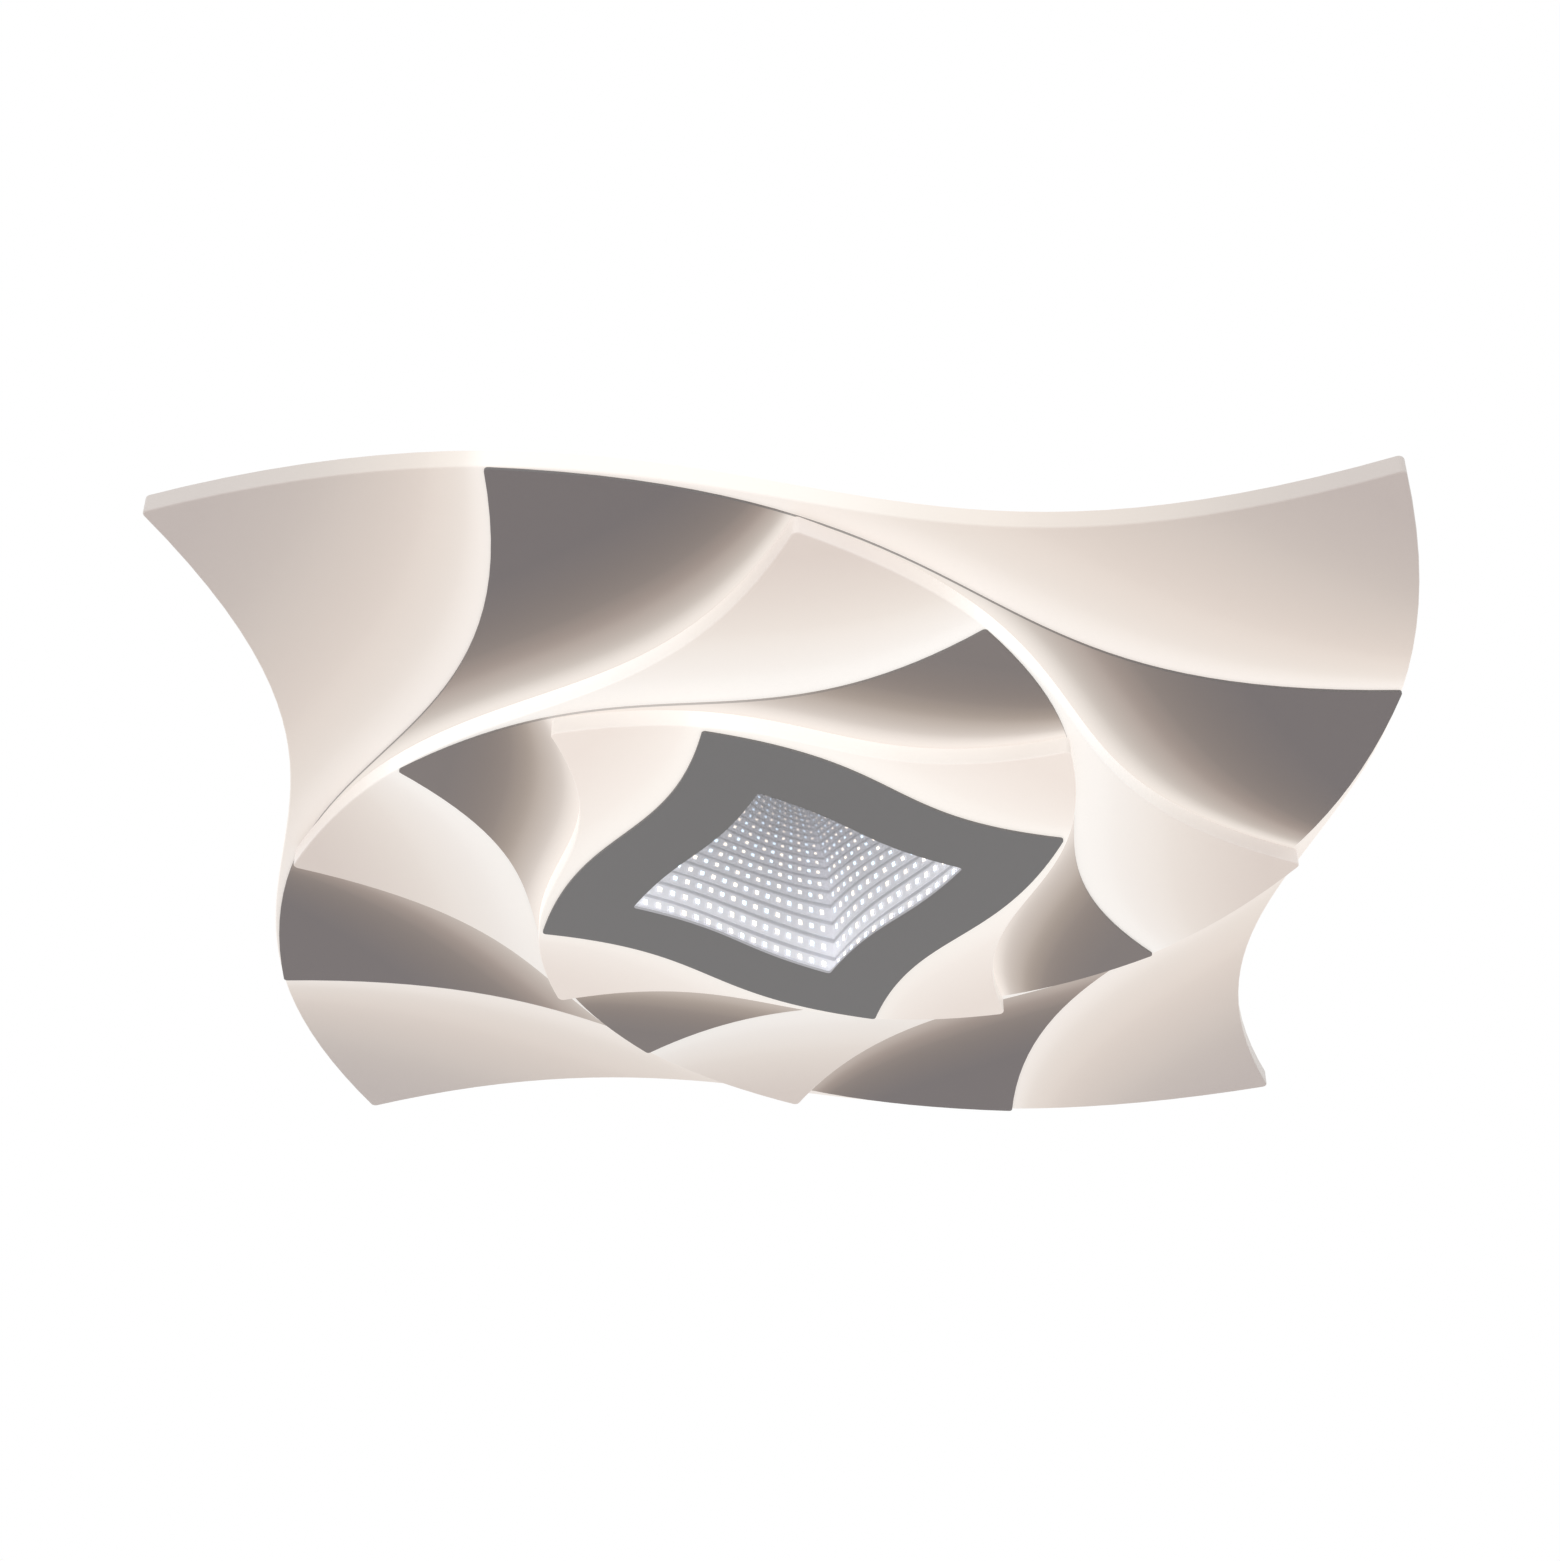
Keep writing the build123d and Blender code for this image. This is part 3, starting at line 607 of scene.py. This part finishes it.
def grey_paint(name, grey=GREY, next_panel=None, stops=(), edge_light_share=0.0):
    """Matt grey paint, with painted light over it where a lit tray stands on it."""
    made = grained(name, grey, 0.50, fine=1500.0, broad=20.0, depth=0.00001, spread=0.05, fade=0.015)
    if next_panel:
        tree = made.node_tree
        shader = tree.nodes["Principled BSDF"]
        # Painted light: a pool of light from the next tray's wall, fading away from its outline, with a
        # share of it on the cut edges.
        painted_light = add(tree, "ShaderNodeMix", (-100, -400), data_type="RGBA")
        painted_light.inputs["A"].default_value = BLACK
        mask = down_mask(tree, full=0.9, none=0.5)
        mask.inputs["To Min"].default_value = edge_light_share
        tree.links.new(mask.outputs["Result"], painted_light.inputs["Factor"])
        tree.links.new(glow_ramp(tree, next_panel, stops), painted_light.inputs["B"])
        tree.links.new(painted_light.outputs["Result"], shader.inputs["Emission Color"])
        shader.inputs["Emission Strength"].default_value = 1.0
    return made


def sheet(name, node, outlines, cutters, made):
    """Sheet in place of its CAD node, with its holes cut through."""
    piece = plate(name, outlines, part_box(node)[1][2], SHEET)
    round_plate(piece, outlines, SHEET_EDGE, SHEET_TIP_ROUND)
    pierce(piece, cutters)
    smooth_edges(piece)
    coat(piece, made)
    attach(piece, "root")
    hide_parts(node)
    return piece


OUTER_PAINTED_LIGHT = [(0.0, (0.725, 0.665, 0.61)), (0.01, (0.45, 0.393, 0.345)), (0.025, (0.245, 0.185, 0.15)),
              (0.04, (0.10, 0.065, 0.045)), (0.08, (0.02, 0.006, 0.005))]
outer_grey_and_painted_light = grey_paint("outer_grey_paint_and_painted_light", next_panel=MIDDLE_PANEL, stops=OUTER_PAINTED_LIGHT, edge_light_share=0.22)
sheet("outer_sheet", "outer_shade", [(*OUTER_SHADE, PANEL_SIDE)], outer_cutters(), outer_grey_and_painted_light)

MIDDLE_PAINTED_LIGHT = [(0.0, (0.765, 0.695, 0.637)), (0.01, (0.515, 0.45, 0.40)), (0.025, (0.285, 0.225, 0.18)),
               (0.04, (0.125, 0.085, 0.06)), (0.07, (0.05, 0.03, 0.022))]
middle_grey_and_painted_light = grey_paint("middle_grey_paint_and_painted_light", next_panel=INNER_PANEL, stops=MIDDLE_PAINTED_LIGHT, edge_light_share=0.5)
sheet("middle_sheet", "middle_shade", [(*MIDDLE_SHADE, PANEL_SIDE)], middle_cutters(), middle_grey_and_painted_light)

# Centre frame: the same grey plate with the window cut through it, whose edge carries
# painted light, as if lit by the chips behind it. Four magnets on posts hold it, so that the mirror box
# can be taken down, and studs and nuts hold the box to it.
FRAME_SIDE = ((0.51, 0.109), (0.54, -0.130))
WINDOW = (0.0880, radians(-9.5), WINDOW_SIDE)
FRAME_GREY = (0.170, 0.164, 0.163)


def lit(made, color, strength):
    """Gives a material light of its own: the chips' own light on their gel, and painted light on faces
    beside the chips, as if they lit them.
    """
    shader = made.node_tree.nodes["Principled BSDF"]
    shader.inputs["Emission Color"].default_value = (*color, 1.0)
    shader.inputs["Emission Strength"].default_value = strength
    return made


frame_grey = grey_paint("frame_grey_paint", FRAME_GREY)
front_frame = sheet("front_frame", "centre_frame", [(*CENTRE_FRAME, FRAME_SIDE), WINDOW], [], frame_grey)
# Painted light on the window's inner edge, as if the chips behind it lit it.
window_edge_painted_light = lit(grey_paint("painted_lit_window_edge", FRAME_GREY), (0.30, 0.30, 0.32), 1.0)
front_frame.data.materials.append(window_edge_painted_light)
for face in front_frame.data.polygons:
    inward = abs(face.normal.z) < 0.9 and face.normal.xy.dot(face.center.xy) < 0
    face.material_index = int(inward)
finish_nodes(zinc, "frame_studs", "frame_nuts", "magnet_posts")
nickel = grained("nickel_plate", (0.66, 0.64, 0.60), 0.22, 1.0, fine=1500.0, broad=120.0, spread=0.10)
finish_nodes(nickel, "frame_magnets")

# Mirror box: behind the window a silvered mirror faces a half-silvered glass, so that
# the one row of chips on the wall between them is seen again and again in the depth.
MIRROR_BOUNCES = 24
scene.cycles.max_bounces = MIRROR_BOUNCES
scene.cycles.glossy_bounces = MIRROR_BOUNCES
scene.cycles.transparent_max_bounces = MIRROR_BOUNCES
cover_black = grained("black_paint", (0.040, 0.040, 0.042), 0.45, fine=1200.0, broad=50.0)
finish_nodes(cover_black, "box_cover")
silver = grained("silver_mirror", (0.93, 0.93, 0.936), 0.0, 1.0, broad=18.0,
                 depth=0.0, spread=0.0, fade=0.003)

# The silvered face stands out by MIRROR_DOME in the centre and by nothing at DOME_R. It
# falls away more slowly towards the window's tips than towards its sides.
MIRROR_DOME = 0.0031
DOME_R = 0.0755
DOME_CORNERS = 0.245
DOME_STEP = 0.004
MIRROR_REACH = 0.0995


def domed_mirror():
    """Acrylic mirror held by its rim, whose silvered face is domed towards the glass."""
    low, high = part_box("back_mirror")
    outline = (MIRROR_REACH, WINDOW[1], WINDOW_SIDE)
    piece = plate("domed_mirror", [outline], high[2], high[2] - low[2])
    bpy.ops.object.mode_set(mode="EDIT")
    cuts = int(MIRROR_REACH / DOME_STEP)
    for index in range(-cuts, cuts + 1):
        for across in ((1, 0, 0), (0, 1, 0)):
            bpy.ops.mesh.select_all(action="SELECT")
            bpy.ops.mesh.bisect(plane_co=[index * DOME_STEP * level for level in across], plane_no=across)
    bpy.ops.object.mode_set(mode="OBJECT")
    for vertex in piece.data.vertices:
        if vertex.co.z < low[2] + NEAR:
            share = vertex.co.xy.length / DOME_R
            corners = DOME_CORNERS * share ** 4 * cos(4 * (atan2(vertex.co.y, vertex.co.x) - WINDOW[1]))
            vertex.co.z -= MIRROR_DOME * (1 - share * share + corners)
    pick(piece)
    bpy.ops.object.shade_smooth_by_angle(angle=SMOOTH_BELOW)
    coat(piece, silver)
    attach(piece, "root")
    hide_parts("back_mirror")


domed_mirror()
# The box wall's plastic carries painted light, as if lit by the chips beside it.
box_wall_painted_lit = grained("box_wall_plastic_painted_lit", (0.70, 0.70, 0.74), 0.5, fine=2200.0, broad=60.0)
finish_nodes(lit(box_wall_painted_lit, (0.92, 0.92, 0.94), 0.18), "mirror_box_wall")

# One-way glass, 2 mm thick, under the box: clear from behind its film, part mirror from
# the room, and nearly all mirror from inside the box, where the film's tint wanders.
FILM_THIN = (0.827, 0.827, 0.833)
FILM_THICK = (0.833, 0.833, 0.839)
FILM_OUTSIDE = 0.28
glass = bpy.data.materials.new("half_silvered_glass")
glass.use_nodes = True
tree = glass.node_tree
tree.nodes.clear()
side = add(tree, "ShaderNodeNewGeometry", (-900, 0))
split = add(tree, "ShaderNodeSeparateXYZ", (-700, 100))
is_upper = add(tree, "ShaderNodeMath", (-500, 100), operation="GREATER_THAN")
is_upper.inputs[1].default_value = 0.5
outer_film = add(tree, "ShaderNodeMath", (-500, -150), operation="MULTIPLY_ADD")
outer_film.inputs[1].default_value = -FILM_OUTSIDE
outer_film.inputs[2].default_value = FILM_OUTSIDE
clear = add(tree, "ShaderNodeBsdfTransparent", (-300, 200))
clear.inputs["Color"].default_value = (0.93, 0.93, 0.95, 1.0)
outer_gloss = add(tree, "ShaderNodeBsdfGlossy", (-300, 50))
outer_gloss.inputs["Color"].default_value = (0.96, 0.96, 0.98, 1.0)
outer_gloss.inputs["Roughness"].default_value = 0.0
inner_gloss = add(tree, "ShaderNodeBsdfGlossy", (-300, -300))
inner_gloss.inputs["Roughness"].default_value = 0.0
film_patches = add(tree, "ShaderNodeGroup", (-700, -350), node_tree=surface_grain)
film_patches.inputs["Broad"].default_value = 18.0
film_tint = add(tree, "ShaderNodeMix", (-500, -350), data_type="RGBA")
film_tint.inputs["A"].default_value = (*FILM_THIN, 1.0)
film_tint.inputs["B"].default_value = (*FILM_THICK, 1.0)
from_front = add(tree, "ShaderNodeMath", (-300, -500), operation="SUBTRACT")
from_front.inputs[0].default_value = 1.0
inside = add(tree, "ShaderNodeMath", (-100, -500), operation="MULTIPLY")
outer_blend = add(tree, "ShaderNodeMixShader", (-100, 100))
blend = add(tree, "ShaderNodeMixShader", (150, 0))
glass_out = add(tree, "ShaderNodeOutputMaterial", (350, 0))
tree.links.new(film_patches.outputs["Patches"], film_tint.inputs["Factor"])
tree.links.new(film_tint.outputs["Result"], inner_gloss.inputs["Color"])
tree.links.new(side.outputs["Normal"], split.inputs[0])
tree.links.new(split.outputs["Z"], is_upper.inputs[0])
tree.links.new(side.outputs["Backfacing"], outer_film.inputs[0])
tree.links.new(side.outputs["Backfacing"], from_front.inputs[1])
tree.links.new(outer_film.outputs[0], outer_blend.inputs[0])
tree.links.new(clear.outputs[0], outer_blend.inputs[1])
tree.links.new(outer_gloss.outputs[0], outer_blend.inputs[2])
tree.links.new(is_upper.outputs[0], inside.inputs[0])
tree.links.new(from_front.outputs[0], inside.inputs[1])
tree.links.new(inside.outputs[0], blend.inputs[0])
tree.links.new(outer_blend.outputs[0], blend.inputs[1])
tree.links.new(inner_gloss.outputs[0], blend.inputs[2])
tree.links.new(blend.outputs[0], glass_out.inputs["Surface"])
finish_nodes(glass, "one_way_glass")

# Light strip along the inside of the box wall: white flexible board, stuck on by its
# back, with painted light on it, as if lit by the row of chips soldered to it.
strip_white_painted_lit = grained("painted_lit_strip", (0.75, 0.75, 0.78), 0.5, fine=2600.0, broad=80.0, fade=0.02)
finish_nodes(lit(strip_white_painted_lit, (0.93, 0.93, 0.94), 0.60), "mirror_strip")

# The strip's chips, alternately cool and warm white: square moulded cases, each with a
# window of phosphor gel towards the middle of the box. They stand where the packed
# model has them.
CHIP = 0.0035
CHIP_TALL = 0.0008
CHIP_EDGE = 0.0002
CHIP_CASE = 0.0001
GEL_WIDE_SHARE = 0.85
CHIP_CORNERS = 24
CHIP_RUN = (16, 18)
COOL = (0.66, 0.87, 1.0)
WARM = (1.0, 0.86, 0.66)
CHIP_LIGHT = 4.2


def chip_places():
    """Place and turn of every chip, in order along each side of the window. The line
    from one corner of CHIP_RUN to the other runs along the strip."""
    corners = [vertex.co for vertex in nodes["mirror_chips"].data.vertices]
    places = []
    for first in range(0, len(corners), CHIP_CORNERS):
        own = corners[first:first + CHIP_CORNERS]
        run = own[CHIP_RUN[1]] - own[CHIP_RUN[0]]
        turn = Matrix.Rotation(atan2(run.y, run.x), 4, "Z")
        places.append(Matrix.Translation(sum(own, Vector()) / CHIP_CORNERS) @ turn)
    return places


def chip_row(name, color, first):
    """Every second chip, joined as one piece, with its own tint of white."""
    bpy.ops.object.select_all(action="DESELECT")
    bpy.ops.mesh.primitive_cube_add(size=1.0)
    model = bpy.context.object
    model.scale = (CHIP, CHIP_TALL, CHIP)
    bpy.ops.object.transform_apply(location=True, rotation=True, scale=True)
    bpy.ops.object.mode_set(mode="EDIT")
    bpy.ops.mesh.select_all(action="SELECT")
    bpy.ops.mesh.bevel(offset=CHIP_EDGE, segments=1)
    select_faces(model, lambda face: face.normal.y > 0.99)
    bpy.ops.mesh.inset(thickness=CHIP_CASE)
    bpy.ops.transform.resize(value=(GEL_WIDE_SHARE, 1.0, 1.0), center_override=(0, 0, 0))
    bpy.ops.object.mode_set(mode="OBJECT")
    is_gel = [face.select for face in model.data.polygons]
    copies = []
    for place in chip_places()[first::2]:
        copy = model.copy()
        copy.data = model.data.copy()
        bpy.context.collection.objects.link(copy)
        copy.data.transform(place)
        copies.append(copy)
    bpy.data.objects.remove(model)
    for copy in copies:
        copy.select_set(True)
    bpy.context.view_layer.objects.active = copies[0]
    bpy.ops.object.join()
    piece = bpy.context.object
    piece.name = name
    gel = grained(name + "_gel", (0.80, 0.78, 0.70), 0.3, fine=2600.0, broad=300.0)
    # The chip cases take the strip's white with its painted light; only the gel is the chips' own light.
    piece.data.materials.append(strip_white_painted_lit)
    piece.data.materials.append(lit(gel, color, CHIP_LIGHT))
    for index, face in enumerate(piece.data.polygons):
        face.material_index = int(is_gel[index % len(is_gel)])
    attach(piece, "root")
    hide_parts("mirror_chips")


chip_row("cool_chips", COOL, 0)
chip_row("warm_chips", WARM, 1)
